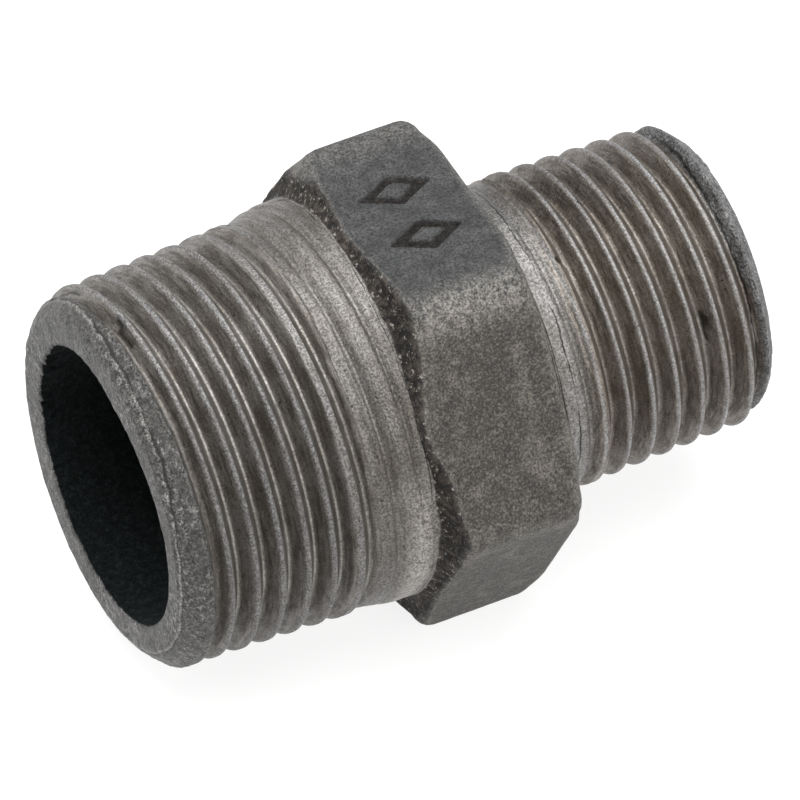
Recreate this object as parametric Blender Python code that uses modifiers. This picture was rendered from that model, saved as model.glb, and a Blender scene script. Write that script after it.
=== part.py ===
"""A reducing hexagon nipple: one malleable iron casting with a taper pipe thread cut on each end.

Frame: metres, +Z up. The bore runs along X, with the large end at -X and the small end at +X. The
origin is on the bore's axis, half-way along. +Z is the outward normal of the hexagon flat that
carries the cast mark, so the part lies on the opposite flat.

Stations along the part are in millimetres from the face of the large end.
"""

import math

import bmesh
import bpy
from mathutils import Matrix

MM = 0.001

# Driving dimensions, in millimetres.
LENGTH = 44.6
PITCH = 25.4 / 14
THREAD_DEPTH = 1.1
CREST_WIDTH = 0.42
ROOT_WIDTH = 0.36
TAPER = 1 / 32  # change of radius along the axis: 1 in 16 on the diameter

ACROSS_FLATS = 29.0
HEX_START, HEX_END = 18.3, 27.6
CORNER_RADIUS = 1.5  # of the hexagon's six long corners
EDGE_ROUNDING = 0.55  # of the edges round its two sides

LARGE_FACE_RADIUS, LARGE_CHAMFER = 11.6, 1.2
LARGE_CREST_RADIUS = 13.15  # at the last full thread
LARGE_LAST_THREAD = 14.0
LARGE_NECK_RADIUS, LARGE_NECK_START = 13.8, 16.7
LARGE_CREST_STATION = 2.6  # a crest on the +Z side
LARGE_BORE_RADIUS = 9.6

SMALL_FACE_RADIUS, SMALL_CHAMFER = 9.0, 1.1
SMALL_CREST_RADIUS = 10.45  # at the first full thread
SMALL_COLLAR_RADIUS = 10.4
SMALL_FIRST_THREAD = 31.0
SMALL_CREST_STATION = 32.9
SMALL_BORE_RADIUS = 7.4

BORE_STEP_START, BORE_STEP_END = 17.0, 23.0  # the cone between the two bores
FILLET = 0.8  # of the neck and the collar where they meet the hexagon

MARK_LENGTH, MARK_WIDTH, MARK_STROKE, MARK_DEPTH = 5.2, 2.9, 0.6, 0.4
MARK_STATION, MARK_OFFSET = 22.9, 2.35

SEGMENTS = 36  # round the axis
OVERLAP = 0.4  # how far a cutter or a joined piece runs past the face that it meets
CLEAR = 0.1  # how far a blank stands outside the crests, so that the thread form sets them
FLARE = 0.9  # how steeply a thread form leaves the blank beyond its last thread


def clear_scene():
    for item in list(bpy.data.objects):
        bpy.data.objects.remove(item, do_unlink=True)


def new_collection(name):
    made = bpy.data.collections.new(name)
    bpy.context.scene.collection.children.link(made)
    return made


def along(station):
    """World X in metres of a station in millimetres."""
    return (station - LENGTH / 2) * MM


def add_object(name, mesh, collection):
    made = bpy.data.objects.new(name, mesh)
    collection.objects.link(made)
    return made


def as_helper(item):
    item.hide_render = True
    item.display_type = "WIRE"
    return item


def mesh_from(bm, name):
    bmesh.ops.recalc_face_normals(bm, faces=bm.faces[:])
    mesh = bpy.data.meshes.new(name)
    bm.to_mesh(mesh)
    bm.free()
    return mesh


def turned(name, profile, collection):
    """A solid of revolution about X. The profile is (station, radius) from the small end to the large."""
    points = [(profile[0][0], 0.0), *profile, (profile[-1][0], 0.0)]
    vertices = [(radius * MM, 0.0, along(station)) for station, radius in points]
    mesh = bpy.data.meshes.new(name)
    mesh.from_pydata(vertices, [(i, i + 1) for i in range(len(vertices) - 1)], [])
    item = add_object(name, mesh, collection)
    item.matrix_world = Matrix.Rotation(math.pi / 2, 4, "Y")  # the profile's Z becomes world X
    screw = item.modifiers.new("Turn", "SCREW")
    screw.steps = screw.render_steps = SEGMENTS
    screw.use_merge_vertices = True
    screw.merge_threshold = 0.000001
    return item


def combine(item, other, operation):
    boolean = item.modifiers.new(operation.title() + " " + other.name, "BOOLEAN")
    boolean.operation = operation
    boolean.object = other


def thread_rod(name, first, last, crest_station, crest_radius, depth_share, collection):
    """A rod with a right-hand helical thread, longer than the stretch that it will be cut to.

    crest_radius(station) and depth_share(station) give the thread's outer radius and how much of
    the full depth is left there. Each turn has a crest and a root, both flat, joined by flanks.
    """
    flank = (PITCH - CREST_WIDTH - ROOT_WIDTH) / 2
    steps = (0.0, CREST_WIDTH, CREST_WIDTH + flank, CREST_WIDTH + flank + ROOT_WIDTH)
    is_root = (False, False, True, True)
    turns_before = math.ceil((crest_station - first) / PITCH)
    start = crest_station - CREST_WIDTH / 2 - turns_before * PITCH
    count = math.ceil((last - start) / PITCH) * SEGMENTS

    bm = bmesh.new()
    rows = []
    for step in range(count + 1):
        angle = 2 * math.pi * step / SEGMENTS
        row = []
        for offset, root in zip(steps, is_root):
            station = start + PITCH * step / SEGMENTS + offset
            radius = crest_radius(station) - root * THREAD_DEPTH * depth_share(station)
            row.append(
                bm.verts.new(
                    (along(station), -radius * MM * math.sin(angle), radius * MM * math.cos(angle))
                )
            )
        rows.append(row)
    for a, b in zip(rows, rows[1:]):
        for k in range(3):
            bm.faces.new((a[k], a[k + 1], b[k + 1], b[k]))
    for step in range(count - SEGMENTS):
        a, b = rows[step], rows[step + 1]
        c, d = rows[step + SEGMENTS], rows[step + SEGMENTS + 1]
        bm.faces.new((a[3], c[0], d[0], b[3]))
    first_rim = [row[0] for row in rows[: SEGMENTS + 1]] + rows[0][:0:-1]
    last_rim = [row[3] for row in rows[count - SEGMENTS :]] + rows[-1][2::-1]
    for rim, station in ((first_rim, start - PITCH), (last_rim, last + 2 * PITCH)):
        centre = bm.verts.new((along(station), 0.0, 0.0))
        for a, b in zip(rim, rim[1:] + rim[:1]):
            bm.faces.new((centre, a, b))
    return as_helper(add_object(name, mesh_from(bm, name), collection))


def fade(value, start, end):
    """1 up to start, 0 from end on, straight between."""
    return min(1.0, max(0.0, (end - value) / (end - start)))


def large_end(collection):
    """The turned large end, with its thread running out into the flared neck."""

    def crest(station):
        flare = max(0.0, station - LARGE_LAST_THREAD - PITCH / 4)
        return LARGE_CREST_RADIUS + (station - LARGE_LAST_THREAD) * TAPER + FLARE * flare

    def depth(station):
        return fade(station, LARGE_LAST_THREAD - PITCH / 2, LARGE_LAST_THREAD + 1.5 * PITCH)

    rod = thread_rod(
        "large_thread_form", -PITCH, HEX_START + PITCH, LARGE_CREST_STATION, crest, depth, collection
    )
    blank = turned(
        "large_end",
        [
            (HEX_START + OVERLAP, LARGE_NECK_RADIUS),
            (LARGE_NECK_START, LARGE_NECK_RADIUS),
            (LARGE_LAST_THREAD + PITCH / 4, LARGE_CREST_RADIUS + CLEAR),
            (LARGE_CHAMFER, LARGE_CREST_RADIUS - LARGE_LAST_THREAD * TAPER + CLEAR),
            (0.0, LARGE_FACE_RADIUS),
        ],
        collection,
    )
    combine(blank, rod, "INTERSECT")
    return as_helper(blank)


def small_end(collection):
    """The turned small end, with a plain collar between the hexagon and the first thread."""

    def crest(station):
        flare = max(0.0, SMALL_FIRST_THREAD - station)
        return SMALL_CREST_RADIUS - (station - SMALL_FIRST_THREAD) * TAPER + FLARE * flare

    def depth(station):
        return 1.0 - fade(station, SMALL_FIRST_THREAD - PITCH / 2, SMALL_FIRST_THREAD + PITCH / 4)

    rod = thread_rod(
        "small_thread_form",
        HEX_END - 2 * PITCH,
        LENGTH + PITCH,
        SMALL_CREST_STATION,
        crest,
        depth,
        collection,
    )
    blank = turned(
        "small_end",
        [
            (LENGTH, SMALL_FACE_RADIUS),
            (LENGTH - SMALL_CHAMFER, SMALL_CREST_RADIUS - (LENGTH - SMALL_FIRST_THREAD) * TAPER + CLEAR),
            (SMALL_FIRST_THREAD + PITCH / 4, SMALL_CREST_RADIUS + CLEAR),
            (SMALL_FIRST_THREAD - PITCH / 4, SMALL_COLLAR_RADIUS),
            (HEX_END - OVERLAP, SMALL_COLLAR_RADIUS),
        ],
        collection,
    )
    combine(blank, rod, "INTERSECT")
    return as_helper(blank)


def core(collection):
    """What is inside the hexagon, with a conical fillet out to the neck and the collar."""
    profile = [
        (HEX_END + FILLET, SMALL_COLLAR_RADIUS - OVERLAP),
        (HEX_END + FILLET / 2, SMALL_COLLAR_RADIUS + FILLET / 2),
        (HEX_END - OVERLAP, SMALL_COLLAR_RADIUS + 2 * FILLET),
        (HEX_START + OVERLAP, LARGE_NECK_RADIUS + FILLET / 2),
        (HEX_START - FILLET, LARGE_NECK_RADIUS - OVERLAP),
    ]
    return as_helper(turned("core", profile, collection))


def bore(collection):
    profile = [
        (LENGTH + 1.0, SMALL_BORE_RADIUS),
        (BORE_STEP_END, SMALL_BORE_RADIUS),
        (BORE_STEP_START, LARGE_BORE_RADIUS),
        (-1.0, LARGE_BORE_RADIUS),
    ]
    return as_helper(turned("bore_cutter", profile, collection))


def lozenge_cutter(name, side, collection):
    """A sunk lozenge outline, one of the two that make the cast mark."""
    half_length, half_width = MARK_LENGTH / 2, MARK_WIDTH / 2
    inward = MARK_STROKE / half_length / half_width * math.hypot(half_length, half_width)
    bm = bmesh.new()
    for share in (1.0, 1.0 - inward):
        outline = bmesh.ops.create_circle(bm, segments=4, radius=share * MM)["verts"]
        bmesh.ops.scale(bm, vec=(half_length, half_width, 1.0), verts=outline)
    bmesh.ops.bridge_loops(bm, edges=bm.edges[:])
    made = bmesh.ops.extrude_face_region(bm, geom=bm.faces[:])
    raised = [v for v in made["geom"] if isinstance(v, bmesh.types.BMVert)]
    bmesh.ops.translate(bm, vec=(0.0, 0.0, (MARK_DEPTH + OVERLAP) * MM), verts=raised)
    floor = ACROSS_FLATS / 2 - MARK_DEPTH
    bm.transform(Matrix.Translation((along(MARK_STATION), side * MARK_OFFSET * MM, floor * MM)))
    return as_helper(add_object(name, mesh_from(bm, name), collection))


def hexagon(collection):
    """The spanner hexagon: a six-sided prism with rounded corners and softened sides."""
    radius = ACROSS_FLATS / 2 / math.cos(math.pi / 6)
    bm = bmesh.new()
    bmesh.ops.create_cone(
        bm,
        cap_ends=True,
        segments=6,
        radius1=radius * MM,
        radius2=radius * MM,
        depth=(HEX_END - HEX_START) * MM,
    )
    # The primitive has corners on X or Y; turned onto the X axis its corners lie at +Y and -Y.
    bm.transform(Matrix.Rotation(math.pi / 2, 4, "Y"))
    corner = max(bm.verts, key=lambda v: abs(v.co.y)).co
    bm.transform(Matrix.Rotation(-math.atan2(corner.z, corner.y), 4, "X"))
    bm.transform(Matrix.Translation((along((HEX_START + HEX_END) / 2), 0.0, 0.0)))
    long_edges = [e for e in bm.edges if abs(e.verts[0].co.x - e.verts[1].co.x) > MM]
    bmesh.ops.bevel(
        bm,
        geom=long_edges,
        affect="EDGES",
        offset=CORNER_RADIUS * math.tan(math.pi / 6) * MM,
        segments=3,
        profile=0.5,
    )
    side_edges = [e for e in bm.edges if abs(e.verts[0].co.x - e.verts[1].co.x) < 0.01 * MM]
    bmesh.ops.bevel(
        bm,
        geom=side_edges,
        affect="EDGES",
        offset=EDGE_ROUNDING * MM,
        segments=2,
        profile=0.5,
    )
    return add_object("nipple_body", mesh_from(bm, "nipple_body"), collection)


def cast_iron():
    material = bpy.data.materials.new("cast_iron")
    material.use_nodes = True
    shader = material.node_tree.nodes["Principled BSDF"]
    shader.inputs["Base Color"].default_value = (0.13, 0.125, 0.12, 1.0)
    shader.inputs["Roughness"].default_value = 0.55
    shader.inputs["Metallic"].default_value = 0.7
    return material


def main():
    clear_scene()
    parts = new_collection("reducing_hexagon_nipple")
    helpers = new_collection("cutters")
    body = hexagon(parts)
    combine(body, core(helpers), "UNION")
    combine(body, large_end(helpers), "UNION")
    combine(body, small_end(helpers), "UNION")
    combine(body, bore(helpers), "DIFFERENCE")
    for number, side in enumerate((1, -1), start=1):
        combine(body, lozenge_cutter(f"mark_cutter_{number}", side, helpers), "DIFFERENCE")
    body.data.materials.append(cast_iron())
    body.data.shade_smooth()
    body.data.set_sharp_from_angle(angle=math.radians(30))


main()
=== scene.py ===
"""The looks of the reducing hexagon nipple: a malleable iron casting with two cut threads."""

import math

import bpy
import numpy as np
from mathutils import Matrix, Vector


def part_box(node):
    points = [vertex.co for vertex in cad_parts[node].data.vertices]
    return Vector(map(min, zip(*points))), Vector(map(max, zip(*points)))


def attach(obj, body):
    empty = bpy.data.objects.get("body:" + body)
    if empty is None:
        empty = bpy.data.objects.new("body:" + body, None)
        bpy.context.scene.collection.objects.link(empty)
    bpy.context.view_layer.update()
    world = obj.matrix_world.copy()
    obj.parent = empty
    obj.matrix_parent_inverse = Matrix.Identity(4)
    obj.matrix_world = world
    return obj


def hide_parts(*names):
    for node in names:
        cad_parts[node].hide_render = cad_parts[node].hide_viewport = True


MM = 0.001

# The CAD model's dimensions in millimetres. A station is how far along a place is from the large end's face.
PITCH = 25.4 / 14
DEPTH = 1.1  # of a thread, from crest to root
TAPER = 1 / 32  # radius lost for each millimetre towards the end
FLANK = math.tan(math.radians(27.5))
ROOT_HALF = 0.125  # half the flat at the bottom of a groove
LAND_HALF = 0.225  # half the worn top of a crest
# crest is the thread's radius at station `at`, and start is a crest's station at angle 0. The rest are radii.
LARGE = dict(crest=13.15, at=14.0, start=2.6, face=11.6, neck=13.8)
SMALL = dict(crest=10.45, at=31.0, start=32.9, face=9.0, collar=10.4)
LARGE_BORE, SMALL_BORE = 9.6, 7.4
HALF_FLATS = 14.5
CORNER_RADIUS = 1.5
MARK_LENGTH, MARK_WIDTH, MARK_STROKE, MARK_DEPTH = 5.2, 2.9, 0.6, 0.4
MARK_STATION, MARK_OFFSET = 22.9, 2.35

# What the real casting has and the CAD leaves out, in millimetres and radians.
TILT, TILT_ANGLE = 0.15, math.radians(75)  # the large thread was cut a little out of true
CORE_SHIFT, CORE_SHIFT_ANGLE = 0.55, math.radians(52)  # the core lay off the axis at the large end
BURR, BURR_ANGLE = 0.6, math.radians(22)  # metal pushed into the bore's mouth
CAST_ROUGHNESS = 0.035  # height of the unevenness of the hexagon's skin

# Where the surface changes from one kind of ring to the next, as stations.
NECK_START = 16.7  # the large thread's helical rows end
NECK_END = 17.75  # the turned neck meets the hexagon's cast side
HEXAGON_END = 26.75  # the flats end and the edge towards the small end begins
COLLAR_START = 28.45
COLLAR_END = 29.35  # the small thread's helical rows begin
TIP_MARGIN = 0.1  # those rows end this far short of the small end's face

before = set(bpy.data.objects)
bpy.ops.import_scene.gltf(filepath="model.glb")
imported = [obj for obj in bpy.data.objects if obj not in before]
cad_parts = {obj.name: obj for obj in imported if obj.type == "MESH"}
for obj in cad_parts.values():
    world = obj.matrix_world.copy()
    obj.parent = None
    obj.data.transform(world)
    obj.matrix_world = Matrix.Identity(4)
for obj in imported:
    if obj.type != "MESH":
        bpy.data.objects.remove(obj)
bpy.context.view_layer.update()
LOW, HIGH = (Vector(c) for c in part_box("nipple_body"))
LENGTH = (HIGH.x - LOW.x) / MM


# ---------------------------------------------------------------- noise and small curves
def hashed(ix, iy, iz, seed):
    """A repeatable number from 0 to 1 for each point of a whole-number lattice."""
    with np.errstate(over="ignore"):
        h = (
            ix.astype(np.uint32) * np.uint32(374761393)
            + iy.astype(np.uint32) * np.uint32(668265263)
            + iz.astype(np.uint32) * np.uint32(2246822519)
            + np.uint32(seed * 3266489917 % 2**32)
        )
        h = (h ^ (h >> np.uint32(13))) * np.uint32(1274126177)
        h = h ^ (h >> np.uint32(16))
    return h.astype(np.float64) / 2**32


def noise(points, size, seed, octaves=1):
    """Value noise from -1 to 1 at points (n, 3), with features of about this size."""
    total, weight, gain = 0.0, 0.0, 1.0
    for octave in range(octaves):
        p = np.asarray(points, np.float64) / size * 2**octave + 1000.0
        cell = np.floor(p).astype(np.int64)
        f = p - cell
        f = f * f * (3 - 2 * f)
        value = 0.0
        for dx in (0, 1):
            for dy in (0, 1):
                for dz in (0, 1):
                    w = (
                        (f[..., 0] if dx else 1 - f[..., 0])
                        * (f[..., 1] if dy else 1 - f[..., 1])
                        * (f[..., 2] if dz else 1 - f[..., 2])
                    )
                    value = value + w * hashed(
                        cell[..., 0] + dx, cell[..., 1] + dy, cell[..., 2] + dz, seed + octave
                    )
        total = total + gain * (2 * value - 1)
        weight += gain
        gain *= 0.55
    return total / weight


def smooth(low, high, value):
    """From 0 at low to 1 at high, with no corners."""
    t = np.clip((value - low) / (high - low), 0, 1)
    return t * t * (3 - 2 * t)


def bump(value, centre, width):
    """1 at the centre, falling to 0 on both sides."""
    return np.exp(-(((value - centre) / width) ** 2))


def signed(angle):
    """The same angle between minus half a turn and half a turn."""
    return (angle + math.pi) % (2 * math.pi) - math.pi


def round_points(station, angle, radius):
    """Points in millimetres round the axis, for noise that has no seam."""
    return np.stack(
        [
            np.broadcast_to(station, angle.shape),
            -radius * np.sin(angle),
            radius * np.cos(angle),
        ],
        -1,
    )


# ---------------------------------------------------------------- the shape: radius by station and angle
def hexagon(angle):
    """Radius of the hexagon's section with its corners rounded, and how near a corner it is, for wear and a
    painted highlight.
    """
    sixth = math.pi / 3
    off = np.abs((angle + sixth / 2) % sixth - sixth / 2)
    from_corner = sixth / 2 - off
    centre = (HALF_FLATS - CORNER_RADIUS) / math.cos(sixth / 2)
    flat_until = math.atan2((HALF_FLATS - CORNER_RADIUS) * math.tan(sixth / 2), HALF_FLATS)
    arc = centre * np.cos(from_corner) + np.sqrt(
        np.maximum(CORNER_RADIUS**2 - (centre * np.sin(from_corner)) ** 2, 0)
    )
    radius = np.where(off <= flat_until, HALF_FLATS / np.cos(off), arc)
    # The wear and the painted highlight lie a little past each corner, on the flat that follows it.
    past = (angle + sixth / 2) % sixth - 0.05
    return radius, bump(np.minimum(np.abs(past), np.abs(past - sixth)), 0, 0.09)


def groove_radius(offset, root):
    """The cutter's V at this distance from the middle of a crest, in millimetres."""
    return root + np.maximum(0, PITCH / 2 - ROOT_HALF - np.abs(offset)) / FLANK


def lead(angle, form):
    """How far a crest has moved along the part at this angle."""
    tilt = TILT * (1 + np.cos(angle - TILT_ANGLE)) if form is LARGE else 0.0
    return PITCH * angle / (2 * math.pi) + tilt


def crest_offset(station, angle, form):
    """Distance along the part from the nearest crest's middle, and which turn that crest is on."""
    turns = (station - form["start"] - lead(angle, form)) / PITCH
    return (turns - np.round(turns)) * PITCH, np.round(turns)


def crest_radius(station, form):
    towards_end = form["at"] - station if form is LARGE else station - form["at"]
    return form["crest"] - towards_end * TAPER


def face_station(angle):
    """The large end's face isn't quite square to the axis."""
    return 0.15 + 0.1 * np.cos(angle + math.radians(20))


def threaded(station, angle, form, blank, root_lift, seed):
    """The thread cut in a blank of this radius: its own radius, and how full it is from 0 to 1."""
    crest = crest_radius(station, form)
    offset, turn = crest_offset(station, angle, form)
    around = round_points(turn * 7.0, angle, form["crest"])  # each turn has its own wear
    root = crest - DEPTH + root_lift
    worn_crest = crest + 0.04 * noise(around, 1.1, seed, 3) + 0.03 * noise(around, 0.45, seed + 7, 2)
    top = np.minimum(blank, np.where(blank > crest + 0.05, blank, worn_crest))
    radius = np.minimum(top, groove_radius(offset, root))
    full = smooth(0.12, 0.6, (top - root) / DEPTH)
    burr = 0.02 * bump(offset, -LAND_HALF, 0.07) * (1 + noise(around, 0.7, seed + 3, 2))
    burr = burr + 0.02 * bump(offset, LAND_HALF, 0.06)
    return dict(radius=radius + burr * full, full=full, cut=1.0)


def large_end(station, angle):
    """The large end from its chamfer to the hexagon."""
    points = round_points(station, angle, 13.0)
    crest = crest_radius(station, LARGE)
    # The neck is turned a little smaller underneath.
    neck = LARGE["neck"] - 0.3 * smooth(1.4, 2.6, angle) * smooth(4.3, 3.3, angle)
    blank = np.where(station < 13.6, crest + 0.2, crest)
    blank = blank + (neck - crest) * smooth(13.9, 16.4, station)
    blank = blank + 0.03 * noise(points, 1.6, 5, 2) * smooth(13, 15, station)
    # The groove runs out towards the neck, and is filled with smeared metal near the face.
    filled = 2.0 + 0.6 * np.cos(angle - math.radians(95))
    lift = 0.25 * np.maximum(0, station - 10.8) + 0.8 * smooth(filled + 0.25, filled - 0.45, station)
    made = threaded(station, angle, LARGE, blank, lift, 21)
    slope = 1.0 + 0.08 * noise(points, 2.5, 11, 2)
    chamfer = LARGE["face"] + 0.02 + slope * (station - face_station(angle))
    chamfer = chamfer + 0.12 * noise(points, 0.6, 13, 3)
    torn = 0.05 * smooth(2.2, 1.3, station) * noise(points, 0.7, 33, 3)
    made["face"] = smooth(filled + 0.1, filled - 0.7, station)
    made["radius"] = np.minimum(made["radius"], chamfer) + 0.02 * noise(points, 0.8, 31, 2) + torn
    return nicked(made, station, angle, 12.8)


def small_end(station, angle):
    """The small end from its collar to its chamfer."""
    points = round_points(station, angle, 10.4)
    crest = crest_radius(station, SMALL)
    collar = SMALL["collar"] + 0.02 * noise(points, 1.2, 6, 2)
    blank = np.where(station > 31.2, crest + 0.2, collar)
    from_tip = LENGTH - station
    # A smeared ring stands on the chamfer, narrower at the front and underneath.
    ring = 1.7 - 0.65 * smooth(math.radians(20), math.radians(80), np.where(angle > math.pi, 0, angle))
    lift = 0.32 * np.maximum(0, 33.0 - station) + 1.9 * np.maximum(0, ring - 0.4 - from_tip)
    made = threaded(station, angle, SMALL, blank, lift, 41)
    slope = 1.0 + 0.08 * noise(points, 2.5, 12, 2)
    torn = 0.1 * noise(points, 0.6, 14, 3) * smooth(1.3, 0.9, from_tip)
    chamfer = SMALL["face"] + 0.02 + slope * from_tip + torn
    made["face"] = 0.9 * smooth(ring, ring - 0.25, from_tip)
    made["radius"] = np.minimum(made["radius"], chamfer) + 0.015 * noise(points, 0.8, 32, 2)
    # On top the tool chattered, and left short ticks across the thread.
    chatter = bump(signed(angle), -0.3, 0.55) * smooth(29.0, 31.0, station)
    made["chatter"] = chatter * smooth(41.0, 34.0, station)
    return nicked(made, station, angle, 10.3)


# Dents: station, angle in degrees, half-length along the part, half-width round it, depth and slant.
NICKS = (
    (2.46, -5.5, 0.15, 0.5, 0.3, 0.05),
    (2.34, -1.8, 0.13, 0.6, 0.26, 0.05),
    (2.36, 2.2, 0.1, 0.5, 0.18, 0.0),
    (31.7, 22, 0.4, 0.25, 0.2, 0.1),
    (42.45, -20, 0.35, 0.6, 0.3, 0.0),
    (39.9, 63, 0.13, 1.2, 0.14, 0.03),
    (39.85, 69, 0.15, 0.45, 0.14, 0.1),
    (17.5, -34, 0.12, 0.9, 0.1, 0.9),
    (12.2, 150, 0.15, 1.4, 0.2, 0.05),
    (35.6, 205, 0.12, 1.1, 0.2, 0.05),
    (6.3, 250, 0.15, 1.5, 0.2, 0.05),
)


def nicked(made, station, angle, radius):
    """Takes the dents out of this surface and marks them."""
    total = 0.0
    ragged = 0.5 * noise(round_points(station, angle, radius), 0.3, 91, 2)
    for place, degrees, length, width, depth, slant in NICKS:
        round_it = signed(angle - math.radians(degrees)) * radius
        along_it = station - place - slant * round_it
        far = (along_it / length) ** 2 + (round_it / width) ** 2
        hit = smooth(1.3, 0.5, far + ragged)
        made["radius"] = made["radius"] - depth * hit
        total = np.maximum(total, hit)
    made["nick"] = total
    return made


def mark_depth(station, y):
    """Depth of the two sunk lozenge outlines, from 0 to 1, at a place on the marked flat."""
    depth = 0.0
    a, b = MARK_LENGTH / 2, MARK_WIDTH / 2
    for side in (-1, 1):
        inward = (1 - np.abs(station - MARK_STATION) / a - np.abs(y - side * MARK_OFFSET) / b) * (
            a * b / math.hypot(a, b)
        )
        inward = inward + 0.05 * noise(np.stack([station, y, 0 * station + side], -1), 0.5, 77, 2)
        depth = depth + smooth(-0.08, 0.1, inward) * smooth(MARK_STROKE + 0.08, MARK_STROKE - 0.1, inward)
    return depth


def cast_side(reach):
    """How far along the cast side is at this distance out from the neck: rising fast, then nearly square."""
    return 0.75 * (1 - np.exp(-reach / 0.45)) + 0.1 * reach


# ---------------------------------------------------------------- the grid that carries it
def column_angles():
    """Angles of the grid's columns in radians from the marked flat: closer together across the mark."""
    parts = [
        np.linspace(-30, -16, 12, endpoint=False),
        np.linspace(-16, 16, 62, endpoint=False),
        np.linspace(16, 30, 12, endpoint=False),
        np.linspace(30, 330, 220, endpoint=False),
    ]
    return np.radians(np.concatenate(parts))


ANGLE = column_angles()
COLUMNS = len(ANGLE)
AROUND = round_points(0.0, ANGLE, 12.0)  # where noise is read that changes round the part and not along it
FRONT = bump(ANGLE, math.radians(58), math.radians(17))  # the middle of the flat nearest the camera
LAYERS = ("full", "cut", "band", "face", "bore", "mark", "worn", "nick", "chatter")
# The helical rows of a thread, as distances along the part from a crest's middle.
ROW_OFFSETS = (-0.82, -0.66, -0.46, -0.3, -0.215, -0.08, 0.08, 0.215, 0.3, 0.46, 0.66, 0.82)
ROW_ROOM = 0.045  # a row nearer than this to a thread's first or last ring is joined to it
BORE_STATIONS = (43, 40.5, 38, 35.5, 33, 30.5, 28, 25.5, 23.5, 22.5, 21)
BORE_STATIONS += (19.5, 18, 17, 15, 13, 11, 9, 7, 5, 3, 1.5)


class Grid:
    """A closed surface made of rings round the axis, joined to each other in order."""

    def __init__(self):
        self.points, self.layers, self.faces, self.count = [], [], [], 0
        self.last = None  # the ring that grow() joins the next one to

    def add(self, station, angle, radius, **layers):
        """Adds vertices and returns their numbers."""
        station = np.broadcast_to(station, angle.shape)
        radius = np.broadcast_to(radius, angle.shape)
        self.points.append(
            np.stack([station + LOW.x / MM, -radius * np.sin(angle), radius * np.cos(angle)], -1) * MM
        )
        self.layers.append(
            np.stack([np.broadcast_to(layers.get(k, 0.0), angle.shape) for k in LAYERS], -1)
        )
        made = np.arange(self.count, self.count + len(angle))
        self.count += len(angle)
        return made

    def ring(self, station, radius, **layers):
        return self.add(station, ANGLE, radius, **layers)

    def cell(self, *corners):
        """Adds a face, without the corners that fall together."""
        kept = []
        for c in corners:
            if c not in kept:
                kept.append(int(c))
        if len(kept) > 2:
            self.faces.append(kept)

    def bridge(self, first, second):
        for j in range(COLUMNS):
            k = (j + 1) % COLUMNS
            self.cell(first[j], first[k], second[k], second[j])

    def grow(self, station, radius, **layers):
        """Adds a ring and joins it to the last one."""
        made = self.ring(station, radius, **layers)
        self.bridge(self.last, made)
        self.last = made

    def thread(self, first, low, second, high, form, surface):
        """Fills the space between two rings with rows that run along the thread's own helix."""
        per_turn = len(ROW_OFFSETS)
        crest = form["start"] + lead(ANGLE, form)
        low_turn = int(math.floor((np.min(low) - crest.max()) / PITCH)) - 1
        high_turn = int(math.ceil((np.max(high) - crest.min()) / PITCH)) + 1
        turns = range(low_turn, high_turn + 1)
        stations = np.array([crest + PITCH * n + offset for n in turns for offset in ROW_OFFSETS])
        below, above = stations < low + ROW_ROOM, stations > high - ROW_ROOM
        numbers = np.where(below, first[None, :], np.where(above, second[None, :], -1))
        free = numbers < 0
        angles = np.broadcast_to(ANGLE, stations.shape)[free]
        numbers[free] = self.add(stations[free], angles, **surface(stations[free], angles))
        rows = len(stations)
        for h in range(rows - 1):
            for j in range(COLUMNS):
                if j + 1 < COLUMNS:
                    near, far = numbers[h, j + 1], numbers[h + 1, j + 1]
                else:
                    # Past the last column the helix goes on one turn further up.
                    near = numbers[h + per_turn, 0] if h + per_turn < rows else second[0]
                    far = numbers[h + 1 + per_turn, 0] if h + 1 + per_turn < rows else second[0]
                self.cell(numbers[h, j], near, far, numbers[h + 1, j])

    def mesh(self, name):
        made = bpy.data.meshes.new(name)
        points = np.clip(np.concatenate(self.points), LOW, HIGH)
        made.from_pydata(points.tolist(), [], self.faces)
        for k, label in enumerate(LAYERS):
            layer = made.attributes.new(label, "FLOAT", "POINT")
            layer.data.foreach_set("value", np.concatenate(self.layers)[:, k].astype(np.float32))
        made.polygons.foreach_set("use_smooth", [True] * len(made.polygons))
        made.update()
        return made


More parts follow.
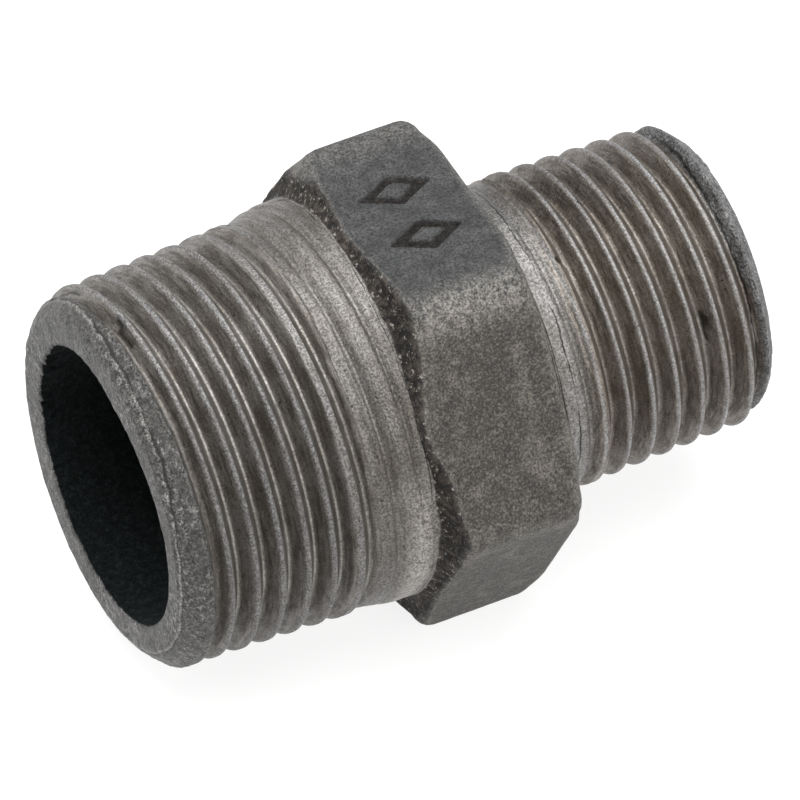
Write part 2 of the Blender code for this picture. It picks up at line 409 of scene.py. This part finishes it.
def add_large_end(grid):
    """The face out from the bore, the large thread and the start of the neck. Returns the bore's mouth."""
    torn = 0.15 + 0.85 * smooth(2.7, 3.3, ANGLE) * smooth(5.7, 5.1, ANGLE)
    burred = bump(signed(ANGLE), BURR_ANGLE, math.radians(40))
    ragged = 0.34 * torn * noise(AROUND, 0.55, 51, 2)
    mouth = LARGE_BORE + CORE_SHIFT * np.cos(ANGLE - CORE_SHIFT_ANGLE) + ragged
    mouth = mouth - burred * (BURR - 0.12 * noise(AROUND, 0.8, 55, 2))
    lip = 0.03 + 0.02 * noise(AROUND, 2.0, 52, 2) - 0.16 * burred
    flat = face_station(ANGLE)
    # The first ring starts the bore's wall and its painted shade.
    rings = [
        grid.ring(flat + 0.12 + lip, mouth - 0.01, bore=1.0),
        grid.ring(flat + 0.02 + lip, mouth + 0.02, face=1.0),
    ]
    for r in (9.85, 10.2, 10.55, 10.9, 11.2, 11.4):
        rough = 0.06 * noise(round_points(0.0, ANGLE, r), 0.7, 53, 3)
        share = (LARGE["face"] - r) / (LARGE["face"] - LARGE_BORE)
        height = flat + rough - 0.16 * burred * share
        rings.append(grid.ring(height, r + share**2 * (mouth - LARGE_BORE), face=1.0, cut=1.0))
    edge_station = flat + 0.08
    edge_radius = LARGE["face"] + 0.12 * noise(AROUND, 0.7, 54, 3)
    rings.append(grid.ring(edge_station, edge_radius, face=0.9, cut=1.0))

    neck = grid.ring(NECK_START, **large_end(np.full(COLUMNS, NECK_START), ANGLE))
    grid.thread(rings[-1], edge_station, neck, NECK_START, LARGE, large_end)
    for ring, after in zip(rings, rings[1:]):
        grid.bridge(ring, after)
    grid.last = neck
    return rings[0]


def add_neck(grid):
    """The last of the turned neck. Returns the station and the radius where the cast side takes over."""
    land_end = NECK_END + 0.2 * noise(AROUND, 1.8, 61, 4) - 0.3 * FRONT
    for t in (0.2, 0.4, 0.6, 0.8, 1.0):
        station = NECK_START + t * (land_end - NECK_START)
        made = large_end(station, ANGLE)
        made["cut"], made["band"] = (0.7, 0.3) if t == 1.0 else (1.0, 0.0)
        grid.grow(station, **made)
    return land_end, made["radius"]


def add_hexagon(grid, land_end, base_radius):
    """The craggy cast side, the flats with the mark sunk in the upper one, and the small end's side."""
    hexed, corner = hexagon(ANGLE)
    near_corner = smooth(15.2, 16.4, hexed)
    # The wear and painted highlight are strongest at the corner between the marked flat and the front one.
    corner = corner * (0.3 + 0.7 * bump(ANGLE, math.radians(33), math.radians(15)))
    hind = bump(signed(ANGLE), math.radians(-30), math.radians(20))  # the corner behind, cut back the most
    edge = 0.45 + (0.45 + 0.85 * hind) * near_corner + 0.13 * noise(AROUND, 1.3, 66, 3) + 0.25 * FRONT
    rim = hexed - edge

    def cast_skin(station, radius, size, seed):
        return radius + CAST_ROUGHNESS * noise(round_points(station, ANGLE, radius), size, seed, 3)

    side_rows = 9
    for k in range(1, side_rows + 1):
        t = k / side_rows
        reach = t * (rim - base_radius)
        station, radius = land_end + cast_side(reach), base_radius + reach
        crags = 0.11 * noise(round_points(station, ANGLE, radius), 0.9, 62, 3)
        grid.grow(station + crags * math.sin(math.pi * min(t + 0.15, 1)), radius, band=1.0)
    side_station = land_end + cast_side(rim - base_radius)
    edge_rows = 4
    for k in range(1, edge_rows + 1):
        t = k / edge_rows * math.pi / 2
        station = side_station + edge * (1 - math.cos(t))
        radius = cast_skin(station, rim + edge * math.sin(t), 1.3, 63)
        band = (1.1 - k / edge_rows) * (1 - 0.7 * near_corner * np.maximum(hind, 0.4))
        # Wear and a painted highlight along the middle of this rounded edge and past the corners.
        grid.grow(station, radius, band=band, worn=0.35 * math.sin(2 * t) + 0.25 * corner)

    flat_start, flat_end = side_station + edge, HEXAGON_END - 0.8 * near_corner
    mark_half = 2.75  # a little more than half the mark's length
    mark_low, mark_high = MARK_STATION - mark_half, MARK_STATION + mark_half
    stations = [flat_start + t * (mark_low - flat_start) for t in (0.33, 0.66)]
    stations += [np.full(COLUMNS, s) for s in np.linspace(mark_low, mark_high, 42)]
    stations += [mark_high + t * (flat_end - mark_high) for t in (0.5, 1.0)]
    on_top = np.abs(signed(ANGLE)) < math.radians(29)
    outside_mark = 9.0
    y = np.where(on_top, -HALF_FLATS * np.tan(ANGLE), outside_mark)
    for station in stations:
        mark = np.where(on_top, mark_depth(station, y), 0.0)
        radius = cast_skin(station, hexed, 1.7, 63) - MARK_DEPTH * mark / np.cos(np.where(on_top, ANGLE, 0))
        radius = radius + 0.05 * mark * noise(round_points(station, ANGLE, hexed), 0.5, 64, 2)
        # Wear and a painted highlight just past the corners.
        grid.grow(station, radius, mark=mark, worn=0.8 * corner)

    edge = 0.75 + 0.6 * near_corner
    edge_rows = 5
    for k in range(1, edge_rows + 1):
        t = k / edge_rows * math.pi / 2
        station = flat_end + edge * math.sin(t)
        radius = cast_skin(station, hexed - edge * (1 - math.cos(t)), 1.3, 65)
        # Wear and a painted highlight along the middle of this rounded edge and past the corners.
        worn = 0.3 * math.sin(2 * t) + 0.3 * corner
        grid.grow(station, radius, worn=worn, band=0.6 * k / edge_rows)
    for t in (0.3, 0.55, 0.8, 1.0):
        radius = (hexed - edge) + t * (SMALL["collar"] + 0.12 - (hexed - edge))
        grid.grow(flat_end + edge + t * (COLLAR_START - flat_end - edge), radius, band=0.9)


def add_small_end(grid):
    """The collar, the small thread and its end face."""
    for station in (28.72, 28.86, 29.1, COLLAR_END):
        low = np.full(COLUMNS, station)
        made = small_end(low, ANGLE)
        if station < 28.8:
            made.update(cut=0.0, band=1.0)
        grid.grow(low, **made)
    tip = LENGTH - TIP_MARGIN
    rim = grid.ring(tip, SMALL["face"] + 0.08 * noise(AROUND, 0.9, 71, 3), face=0.8, cut=1.0)
    grid.thread(grid.last, COLLAR_END, rim, tip, SMALL, small_end)
    grid.last = rim
    for r in (8.75, 8.3, 7.85, 7.55):
        rough = 0.02 * noise(round_points(0.0, ANGLE, r), 0.7, 72, 2)
        grid.grow(LENGTH - 0.04 - rough, r, face=1.0, cut=1.0)


def add_bore(grid, mouth):
    """The bore, back through the part to its mouth at the large end."""
    grid.grow(LENGTH - 0.3, SMALL_BORE, bore=1.0)
    for station in BORE_STATIONS:
        base = LARGE_BORE + (SMALL_BORE - LARGE_BORE) * float(smooth(17.0, 23.0, station))
        radius = base - 0.08 + 0.06 * noise(round_points(station, ANGLE, base), 2.4, 73, 3)
        radius = radius + CORE_SHIFT * np.cos(ANGLE - CORE_SHIFT_ANGLE) * float(smooth(12.0, 1.0, station))
        grid.grow(station, radius, bore=1.0)
    grid.bridge(grid.last, mouth)


def build_surface():
    grid = Grid()
    mouth = add_large_end(grid)
    land_end, base_radius = add_neck(grid)
    add_hexagon(grid, land_end, base_radius)
    add_small_end(grid)
    add_bore(grid, mouth)
    return grid.mesh("nipple_casting")


# ---------------------------------------------------------------- materials
class Nodes:
    """A short way to write a node tree."""

    def __init__(self, name):
        self.material = bpy.data.materials.new(name)
        self.material.use_nodes = True
        self.tree = self.material.node_tree
        self.tree.nodes.clear()

    def put(self, socket, value):
        if isinstance(value, bpy.types.NodeSocket):
            self.tree.links.new(value, socket)
        elif isinstance(value, tuple) and len(value) == 3 and len(socket.default_value) == 4:
            socket.default_value = (*value, 1.0)
        else:
            socket.default_value = value

    def add(self, kind, inputs=(), **settings):
        node = self.tree.nodes.new(kind)
        for key, value in settings.items():
            setattr(node, key, value)
        for key, value in dict(inputs).items():
            self.put(node.inputs[key], value)
        return node

    def maths(self, operation, a, b=0.0, c=0.0):
        return self.add("ShaderNodeMath", {0: a, 1: b, 2: c}, operation=operation).outputs[0]

    def times(self, a, b):
        return self.maths("MULTIPLY", a, b)

    def less(self, a, b):
        return self.maths("SUBTRACT", a, b)

    def over(self, a, b):
        return self.maths("DIVIDE", a, b)

    def most(self, a, b):
        return self.maths("MAXIMUM", a, b)

    def times_plus(self, a, b, c):
        return self.maths("MULTIPLY_ADD", a, b, c)

    def layer(self, name):
        return self.add("ShaderNodeAttribute", attribute_name=name).outputs["Fac"]

    def noise(self, vector, scale, detail, rough, distortion=0.0):
        node = self.add(
            "ShaderNodeTexNoise",
            {
                "Vector": vector,
                "Scale": scale,
                "Detail": detail,
                "Roughness": rough,
                "Distortion": distortion,
            },
        )
        return node.outputs["Fac"]

    def span(self, value, low, high, to_low=0.0, to_high=1.0):
        """Takes low..high of the value to to_low..to_high, smoothly and with nothing past them."""
        node = self.add(
            "ShaderNodeMapRange",
            {0: value, 1: low, 2: high, 3: to_low, 4: to_high},
            interpolation_type="SMOOTHSTEP",
        )
        return node.outputs[0]

    def ridge(self, value, centre, width):
        """1 at the centre, falling to 0 on both sides."""
        far = self.over(self.less(value, centre), width)
        return self.maths("EXPONENT", self.times(self.times(far, far), -1.0))

    def mix(self, share, a, b, blend="MIX"):
        """A colour between two colours."""
        node = self.add("ShaderNodeMix", data_type="RGBA", blend_type=blend)
        for key, value in ((0, share), (6, a), (7, b)):
            self.put(node.inputs[key], value)
        return node.outputs[2]

    def between(self, share, a, b):
        """A number between two numbers."""
        node = self.add("ShaderNodeMix", data_type="FLOAT")
        for key, value in ((0, share), (2, a), (3, b)):
            self.put(node.inputs[key], value)
        return node.outputs[0]

    def brighten(self, colour, factor):
        grey = self.add("ShaderNodeCombineColor", {0: factor, 1: factor, 2: factor}).outputs[0]
        return self.mix(1.0, colour, grey, "MULTIPLY")

    def relief(self, strength, distance, height, below=None):
        """A bump of this many metres, on top of another one's normal."""
        inputs = {"Strength": strength, "Distance": distance, "Height": height}
        if below is not None:
            inputs["Normal"] = below
        return self.add("ShaderNodeBump", inputs).outputs[0]


def along(station):
    """The x of this station in the object's own millimetres."""
    return station - LENGTH / 2


class Iron(Nodes):
    """The part's one material: turned metal where it was cut, cast skin elsewhere, and a bore in painted
    shade.
    """

    def __init__(self):
        super().__init__("black_malleable_iron")
        where = self.add("ShaderNodeTexCoord").outputs["Object"]
        scaled = self.add("ShaderNodeVectorMath", {0: where, 1: (1 / MM,) * 3}, operation="MULTIPLY")
        place = scaled.outputs[0]
        self.x, self.y, self.z = self.add("ShaderNodeSeparateXYZ", {0: place}).outputs
        self.turn = self.maths("ARCTAN2", self.times(self.y, -1.0), self.z)
        self.helix = self.less(self.x, self.times(self.turn, PITCH / (2 * math.pi)))
        squares = self.maths("ADD", self.times(self.y, self.y), self.times(self.z, self.z))
        self.r = self.maths("SQRT", squares)
        self.sideways, self.upward = self.over(self.y, self.r), self.over(self.z, self.r)
        self.small_side = self.maths("GREATER_THAN", self.x, 0.0)

        self.full, self.cut, self.band = self.layer("full"), self.layer("cut"), self.layer("band")
        self.face, self.bore, self.mark = self.layer("face"), self.layer("bore"), self.layer("mark")
        self.worn, self.nick, self.chatter = self.layer("worn"), self.layer("nick"), self.layer("chatter")
        self.above = self.span(self.over(self.z, HALF_FLATS), 0.9, 0.97)  # the marked flat

        self.grain = self.noise(place, 6.5, 2.5, 0.7)
        self.blotch = self.noise(place, 0.45, 3.0, 0.55)
        self.mottle = self.noise(place, 1.0, 4.0, 0.6)
        self.fleck = self.noise(place, 2.4, 6.0, 0.75)
        self.crag = self.noise(place, 1.5, 5.0, 0.7, 0.6)
        self.pits = self.noise(place, 3.0, 2.0, 0.5)
        self.tool = self.streaks(6.5, 5.0, 3.0, 4.0, 0.68)
        self.ragged = self.streaks(1.6, 16.0, 45.0, 4.0, 0.65)
        self.patchy = self.streaks(0.8, 3.5, 57.0, 3.0, 0.6)

        metal, land = self.thread_metal()
        colour = self.mix(self.span(self.cut, 0.3, 0.7), self.cast_skin(), metal)
        colour = self.mix(self.span(self.face, 0.1, 0.6), colour, self.end_face())
        colour = self.with_tears_and_shadow_line(colour)
        # Painted shade: the bore is coloured nearly black, darker than the skin outside, right to its mouth.
        bore_shade_colour = self.mix(self.span(self.fleck, 0.4, 0.7), (0.006, 0.009, 0.0095), (0.024, 0.03, 0.0305))
        colour = self.mix(self.span(self.bore, 0.3, 0.7), colour, bore_shade_colour)
        self.finish(self.dusted(colour, land), land)

    def streaks(self, fine, long, seed, detail, rough):
        """Noise drawn out along the helix: `fine` is how close its lines lie, `long` how short they are."""
        vector = self.add(
            "ShaderNodeCombineXYZ",
            {
                0: self.times(self.helix, fine),
                1: self.times_plus(self.sideways, long, seed),
                2: self.times(self.upward, long),
            },
        )
        return self.noise(vector.outputs[0], 1.0, detail, rough)

    def crest_offset(self):
        """How far along the part this is from the nearest crest's middle, on either thread."""

        def from_crest(place, start):
            turns = self.over(self.less(place, along(start)), PITCH)
            return self.times(self.less(self.maths("FRACT", self.maths("ADD", turns, 0.5)), 0.5), PITCH)

        aside = self.times_plus(self.y, -math.sin(TILT_ANGLE), self.times(self.z, math.cos(TILT_ANGLE)))
        tilted = self.times_plus(self.over(aside, self.r), -TILT, self.less(self.helix, TILT))
        large, small = from_crest(tilted, LARGE["start"]), from_crest(self.helix, SMALL["start"])
        return self.between(self.small_side, large, small)

    def thread_metal(self):
        """Turned metal: gritty lands, darker flanks, painted shade and a painted highlight line in each
        groove. Also where the lands are.
        """
        small_side, full, tool, patchy = self.small_side, self.full, self.tool, self.patchy
        offset = self.crest_offset()
        half_land = self.between(small_side, 0.22, 0.11)
        half_land = self.times_plus(self.less(self.ragged, 0.5), 0.16, half_land)
        far = self.maths("ABSOLUTE", self.less(offset, self.between(small_side, 0.03, -0.03)))
        land = self.times(full, self.span(self.less(far, half_land), 0.1, -0.09))
        root = self.maths("ABSOLUTE", self.maths("ADD", offset, self.times_plus(self.ragged, 0.08, -0.06)))
        root = self.times(full, self.ridge(root, 0.89, 0.07))
        away_flank_shade = self.times(full, self.ridge(offset, 0.45, 0.16))  # the flank that faces the small end

        # The neck, the collar and where the threads run out.
        tool_wide = self.streaks(1.1, 1.1, 9.0, 3.0, 0.55)
        turned = self.mix(self.span(tool, 0.34, 0.68), (0.104, 0.098, 0.091), (0.155, 0.149, 0.142))
        turned = self.mix(self.span(tool_wide, 0.4, 0.65, 0.0, 0.35), turned, (0.115, 0.105, 0.094))
        stain = self.times(
            self.ridge(self.x, along(17.2), 0.6), self.ridge(self.turn, math.radians(51), math.radians(13))
        )
        stain = self.most(self.times(stain, 0.6), self.span(self.blotch, 0.5, 0.64, 0.0, 0.4))
        turned = self.mix(stain, turned, (0.078, 0.067, 0.057))
        # Partly painted light from below, partly wear: light flecks low on the front of the neck, near the
        # band.
        low_front = self.times(self.span(self.upward, 0.4, 0.1), self.span(self.y, -6.0, -10.0))
        by_band = self.times(self.ridge(self.x, along(16.6), 1.0), low_front)
        bright = self.times(by_band, self.span(self.fleck, 0.36, 0.52))
        turned = self.mix(bright, turned, (0.33, 0.312, 0.288))
        collar = self.times(small_side, self.ridge(self.x, along(29.8), 0.9))
        bright = self.times(collar, self.span(self.mottle, 0.4, 0.6, 0.45, 0.9))
        turned = self.mix(bright, turned, (0.222, 0.216, 0.212))

        # The flanks, browner and a little lighter on the small thread.
        flank = self.mix(self.span(tool, 0.39, 0.61), (0.08, 0.072, 0.064), (0.185, 0.172, 0.157))
        flank = self.mix(self.span(self.blotch, 0.45, 0.6, 0.0, 0.5), flank, (0.088, 0.074, 0.061))
        flank = self.mix(self.span(patchy, 0.5, 0.68, 0.0, 0.6), flank, (0.18, 0.172, 0.163))
        flank = self.mix(small_side, flank, self.mix(1.0, flank, (1.16, 1.1, 1.04), "MULTIPLY"))
        metal = self.mix(full, turned, flank)
        # Painted shade: the flank that faces the small end is darkened.
        metal = self.mix(self.times(away_flank_shade, 0.4), metal, (0.04, 0.035, 0.031))

        # A painted highlight along each root, stronger towards the front and on the large thread, then the
        # lands.
        lit = self.span(patchy, 0.36, 0.6, 0.4, 0.95)
        lit = self.times(lit, self.span(self.sideways, 0.0, -0.7, 0.35, 1.0))
        lit = self.times(lit, self.between(small_side, 1.0, 0.45))
        root_highlight_colour = self.mix(small_side, (0.33, 0.316, 0.295), (0.27, 0.267, 0.263))
        metal = self.mix(self.times(root, lit), metal, root_highlight_colour)
        grit_dark = self.mix(small_side, (0.125, 0.123, 0.121), (0.22, 0.219, 0.219))
        grit_light = self.mix(small_side, (0.205, 0.203, 0.201), (0.32, 0.32, 0.322))
        grit = self.mix(self.span(self.grain, 0.36, 0.64), grit_dark, grit_light)
        metal = self.mix(self.times(land, self.span(patchy, 0.3, 0.6, 1.0, 0.6)), metal, grit)

        # Painted light and shade: the large thread is painted lighter on top and darker at the front, the
        # small one darker on top.
        large_shade = self.span(self.sideways, -0.1, -0.6, 1.12, 0.93)
        small_shade = self.span(self.sideways, -0.1, -0.6, 0.86, 1.0)
        metal = self.brighten(metal, self.between(small_side, large_shade, small_shade))
        ticks = self.times(self.chatter, self.span(self.streaks(1.3, 75.0, 5.0, 2.0, 0.5), 0.48, 0.56))
        metal = self.mix(self.times(ticks, 0.45), metal, (0.02, 0.018, 0.017))
        return self.mix(self.span(self.pits, 0.3, 0.26), metal, (0.02, 0.018, 0.016)), land

    def cast_skin(self):
        """Smoother on the marked flat, mottled and gritty on the others, craggy in the band by the neck."""
        grain, mottle, fleck, pits, above = self.grain, self.mottle, self.fleck, self.pits, self.above
        plain = self.mix(self.span(mottle, 0.35, 0.65), (0.023, 0.0235, 0.0243), (0.046, 0.0465, 0.0475))
        plain = self.mix(self.span(fleck, 0.5, 0.65, 0.0, 0.3), plain, (0.07, 0.07, 0.069))
        rough = self.mix(self.span(fleck, 0.36, 0.64), (0.021, 0.019, 0.0165), (0.084, 0.077, 0.068))
        rough = self.mix(self.span(mottle, 0.41, 0.57, 0.0, 0.85), rough, (0.034, 0.031, 0.0265))
        rough = self.mix(self.span(self.blotch, 0.47, 0.32, 0.0, 0.65), rough, (0.108, 0.099, 0.086))
        rough = self.mix(self.span(grain, 0.52, 0.66, 0.0, 0.3), rough, (0.15, 0.139, 0.124))
        skin = self.mix(above, rough, plain)
        skin = self.mix(self.span(grain, 0.47, 0.34, 0.0, 0.5), skin, (0.012, 0.0113, 0.0105))
        skin = self.mix(self.times(above, self.span(pits, 0.35, 0.3)), skin, (0.011, 0.0105, 0.0102))
        # Wear and a painted highlight: light flecks along the rounded edges and just past the corners.
        skin = self.mix(self.times(self.worn, self.span(fleck, 0.34, 0.56)), skin, (0.22, 0.209, 0.189))

        craggy = self.mix(self.span(self.crag, 0.42, 0.6), (0.006, 0.0048, 0.004), (0.055, 0.045, 0.037))
        chips = self.most(self.span(fleck, 0.6, 0.66), self.span(pits, 0.645, 0.68, 0.0, 0.75))
        craggy = self.mix(self.times(chips, 0.9), craggy, (0.34, 0.312, 0.285))
        in_band = self.span(self.maths("ADD", self.band, self.times(fleck, 0.5)), 0.62, 0.82)
        skin = self.mix(in_band, skin, craggy)
        # Painted shade: the floor of the sunk mark is coloured nearly black.
        shaded_mark_floor = self.mix(self.span(fleck, 0.4, 0.65), (0.003, 0.0024, 0.002), (0.024, 0.019, 0.0155))
        return self.mix(self.span(self.mark, 0.15, 0.6), skin, shaded_mark_floor)

    def end_face(self):
        """The large end's face is dark and scraped. The small end's smeared ring is lighter and plainer,
        partly its own tone and partly painted light.
        """
        fleck = self.fleck
        large = self.mix(self.span(self.crag, 0.36, 0.62), (0.034, 0.0325, 0.0304), (0.0625, 0.0607, 0.057))
        scraped = self.times(self.span(fleck, 0.48, 0.6), self.span(self.patchy, 0.4, 0.6, 0.25, 1.0))
        large = self.mix(self.times(scraped, 0.8), large, (0.19, 0.186, 0.18))
        large = self.mix(self.span(fleck, 0.42, 0.34, 0.0, 0.8), large, (0.012, 0.0112, 0.01))
        # Partly painted light: the small end's ring is coloured lighter than the large end's face.
        small = self.mix(self.span(self.mottle, 0.35, 0.65), (0.08, 0.079, 0.079), (0.142, 0.141, 0.141))
        return self.mix(self.small_side, large, small)

    def dark_line(self, station, seed, spread, thin, thick, swing=0.0):
        """A dark line that wanders round the part at about this station."""
        wander = self.streaks(0.0, 4.0, seed, 7.0, 0.72)
        place = self.times_plus(wander, spread, along(station) - spread / 2)
        place = self.times_plus(self.maths("COSINE", self.turn), swing, place)
        broad = self.span(self.streaks(0.0, 2.5, seed + 12.0, 4.0, 0.65), 0.38, 0.62, thin, thick)
        return self.ridge(self.x, place, broad)

    def with_tears_and_shadow_line(self, colour):
        """Adds the large end's torn edge, a light lip with a dark line outside it, cracks, a painted shadow
        line, and nicks.
        """
        at_end = self.maths("LESS_THAN", self.x, along(2.2))
        wander = self.streaks(0.0, 2.6, 21.0, 7.0, 0.66)
        swing = self.maths("COSINE", self.maths("ADD", self.turn, math.radians(45)))
        torn = self.times_plus(wander, 0.9, self.times_plus(swing, 0.42, 11.62))
        broad = self.span(self.streaks(0.0, 2.5, 33.0, 4.0, 0.65), 0.42, 0.62, 0.02, 0.15)
        lip = self.ridge(self.r, self.less(torn, 0.12), 0.09)
        lip = self.times(lip, self.span(self.fleck, 0.36, 0.56, 0.2, 0.8))
        colour = self.mix(self.times(lip, at_end), colour, (0.25, 0.243, 0.232))

        cracks_and_shadow_lines = self.times(self.ridge(self.r, torn, broad), at_end)
        # The line at station 28.9 is a painted shadow where the hexagon's side meets the collar; the others
        # are cracks and a tear.
        for found in (
            self.dark_line(LENGTH - 1.2, 25.0, 0.5, 0.02, 0.1, swing=-0.27),
            self.dark_line(28.9, 31.0, 0.35, 0.03, 0.09),
            self.dark_line(29.8, 37.0, 0.7, 0.001, 0.07),
            self.dark_line(17.55, 41.0, 0.5, 0.001, 0.045),
        ):
            cracks_and_shadow_lines = self.most(cracks_and_shadow_lines, found)
        cracks_and_shadow_lines = self.times(cracks_and_shadow_lines, self.less(1.0, self.bore))
        colour = self.mix(cracks_and_shadow_lines, colour, (0.008, 0.007, 0.006))
        dented = self.times(self.nick, self.span(self.fleck, 0.3, 0.45, 0.5, 0.95))
        return self.mix(dented, colour, (0.014, 0.0125, 0.011))

    def dusted(self, colour, land):
        """The finest grain: each kind of surface varies this much about its colour."""
        grooves = self.times(self.full, self.less(1.0, land))
        spread = self.between(grooves, 0.55, 0.32)
        spread = self.between(self.times(self.above, self.less(1.0, self.cut)), spread, 0.7)
        spread = self.between(self.face, spread, 0.95)
        spread = self.between(land, spread, self.between(self.small_side, 0.42, 0.26))
        dust = self.span(self.grain, 0.32, 0.68, -1.0, 1.0)
        return self.brighten(colour, self.times_plus(dust, spread, 1.0))

    def finish(self, colour, land):
        """How metallic and rough each surface is, its relief, and the shader."""
        cut, face, bore = self.cut, self.face, self.bore
        metalness = self.between(self.less(cut, self.times(face, 0.8)), 0.12, 0.65)
        metalness = self.between(bore, metalness, 0.75)
        dull = self.most(self.band, self.mark)
        roughness = self.between(cut, 0.62, self.span(self.tool, 0.35, 0.65, 0.5, 0.38))
        roughness = self.between(land, roughness, 0.55)
        roughness = self.most(roughness, self.times(self.most(dull, bore), 0.9))

        normal = self.relief(self.times(cut, self.times_plus(self.full, 0.6, 0.4)), 0.03 * MM, self.tool)
        normal = self.relief(self.between(cut, 1.0, 0.5), 0.1 * MM, self.grain, normal)
        normal = self.relief(self.between(cut, 1.0, 0.15), 0.12 * MM, self.fleck, normal)
        craggy = self.most(self.most(dull, face), self.between(cut, 0.22, 0.0))
        normal = self.relief(craggy, 0.4 * MM, self.crag, normal)
        shader = self.add(
            "ShaderNodeBsdfPrincipled",
            {"Base Color": colour, "Metallic": metalness, "Roughness": roughness, "Normal": normal},
        )
        self.add("ShaderNodeOutputMaterial", {"Surface": shader.outputs[0]})


def light_table():
    """The floor: a matt sheet that glows almost white, like a light table."""
    n = Nodes("floor_white")
    shader = n.add("ShaderNodeBsdfPrincipled", {"Base Color": (0.2, 0.2, 0.2), "Roughness": 0.8})
    shader.inputs["Emission Color"].default_value = (1.0, 1.0, 1.0, 1.0)
    shader.inputs["Emission Strength"].default_value = 0.85
    n.add("ShaderNodeOutputMaterial", {"Surface": shader.outputs[0]})
    return n.material


# ---------------------------------------------------------------- the object
def make_object():
    mesh = build_surface()
    mesh.materials.append(Iron().material)
    body = bpy.data.objects.new("nipple_casting", mesh)
    bpy.context.scene.collection.objects.link(body)
    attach(body, "root")
    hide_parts("nipple_body")


# ---------------------------------------------------------------- camera, floor and light
SENSOR, FRAME_WIDTH = 36.0, 800.0  # in millimetres, and in the units that per_mm counts


def make_camera():
    """The photograph's view: from the large end's side, above, with the part filling the frame."""
    azimuth, elevation, roll = (math.radians(v) for v in (-25.42, 43.67, -1.52))
    distance, per_mm = 1.382, 15.322
    across, up = 0.42 * MM, 1.549 * MM
    level = math.cos(elevation)
    look = Vector((-math.sin(azimuth) * level, math.cos(azimuth) * level, -math.sin(elevation)))
    right = Vector((math.cos(azimuth), math.sin(azimuth), 0.0))
    top = right.cross(look)
    right, top = (
        math.cos(roll) * right + math.sin(roll) * top,
        -math.sin(roll) * right + math.cos(roll) * top,
    )
    data = bpy.data.cameras.new("camera")
    data.sensor_width = SENSOR
    data.lens = per_mm * (distance / MM) * SENSOR / FRAME_WIDTH
    data.clip_start, data.clip_end = 0.05, 50.0
    camera = bpy.data.objects.new("camera", data)
    bpy.context.scene.collection.objects.link(camera)
    place = -distance * look - across * right - up * top
    axes = Matrix((right, top, -look)).transposed()
    camera.matrix_world = Matrix.Translation(place) @ axes.to_4x4()
    bpy.context.scene.camera = camera


def make_floor():
    mesh = bpy.data.meshes.new("floor")
    half, height = 4.0, LOW.z
    mesh.from_pydata(
        [(-half, -half, height), (half, -half, height), (half, half, height), (-half, half, height)],
        [],
        [(0, 1, 2, 3)],
    )
    mesh.materials.append(light_table())
    floor = bpy.data.objects.new("floor", mesh)
    bpy.context.scene.collection.objects.link(floor)


def make_light(name, place, size, power, colour=(1.0, 1.0, 1.0)):
    data = bpy.data.lights.new(name, "AREA")
    data.shape = "DISK"
    data.size = size
    data.energy = power
    data.color = colour
    light = bpy.data.objects.new(name, data)
    light.location = place
    light.rotation_mode = "QUATERNION"
    light.rotation_quaternion = (-Vector(place)).to_track_quat("-Z", "Y")
    bpy.context.scene.collection.objects.link(light)


def make_lights():
    world = bpy.data.worlds.new("studio")
    world.use_nodes = True
    background = world.node_tree.nodes["Background"]
    background.inputs["Color"].default_value = (1.0, 1.0, 1.0, 1.0)
    background.inputs["Strength"].default_value = 0.42
    bpy.context.scene.world = world
    make_light("top_softbox", (0.05, 0.0, 0.9), 1.2, 18.0)
    make_light("front_softbox", (0.35, -0.95, 0.55), 0.6, 4.5, (1.0, 0.95, 0.9))
    make_light("back_softbox", (-0.75, 0.5, 0.45), 0.6, 3.5)


make_camera()
make_floor()
make_lights()
make_object()
bpy.context.scene.view_settings.view_transform = "Standard"
bpy.context.view_layer.update()
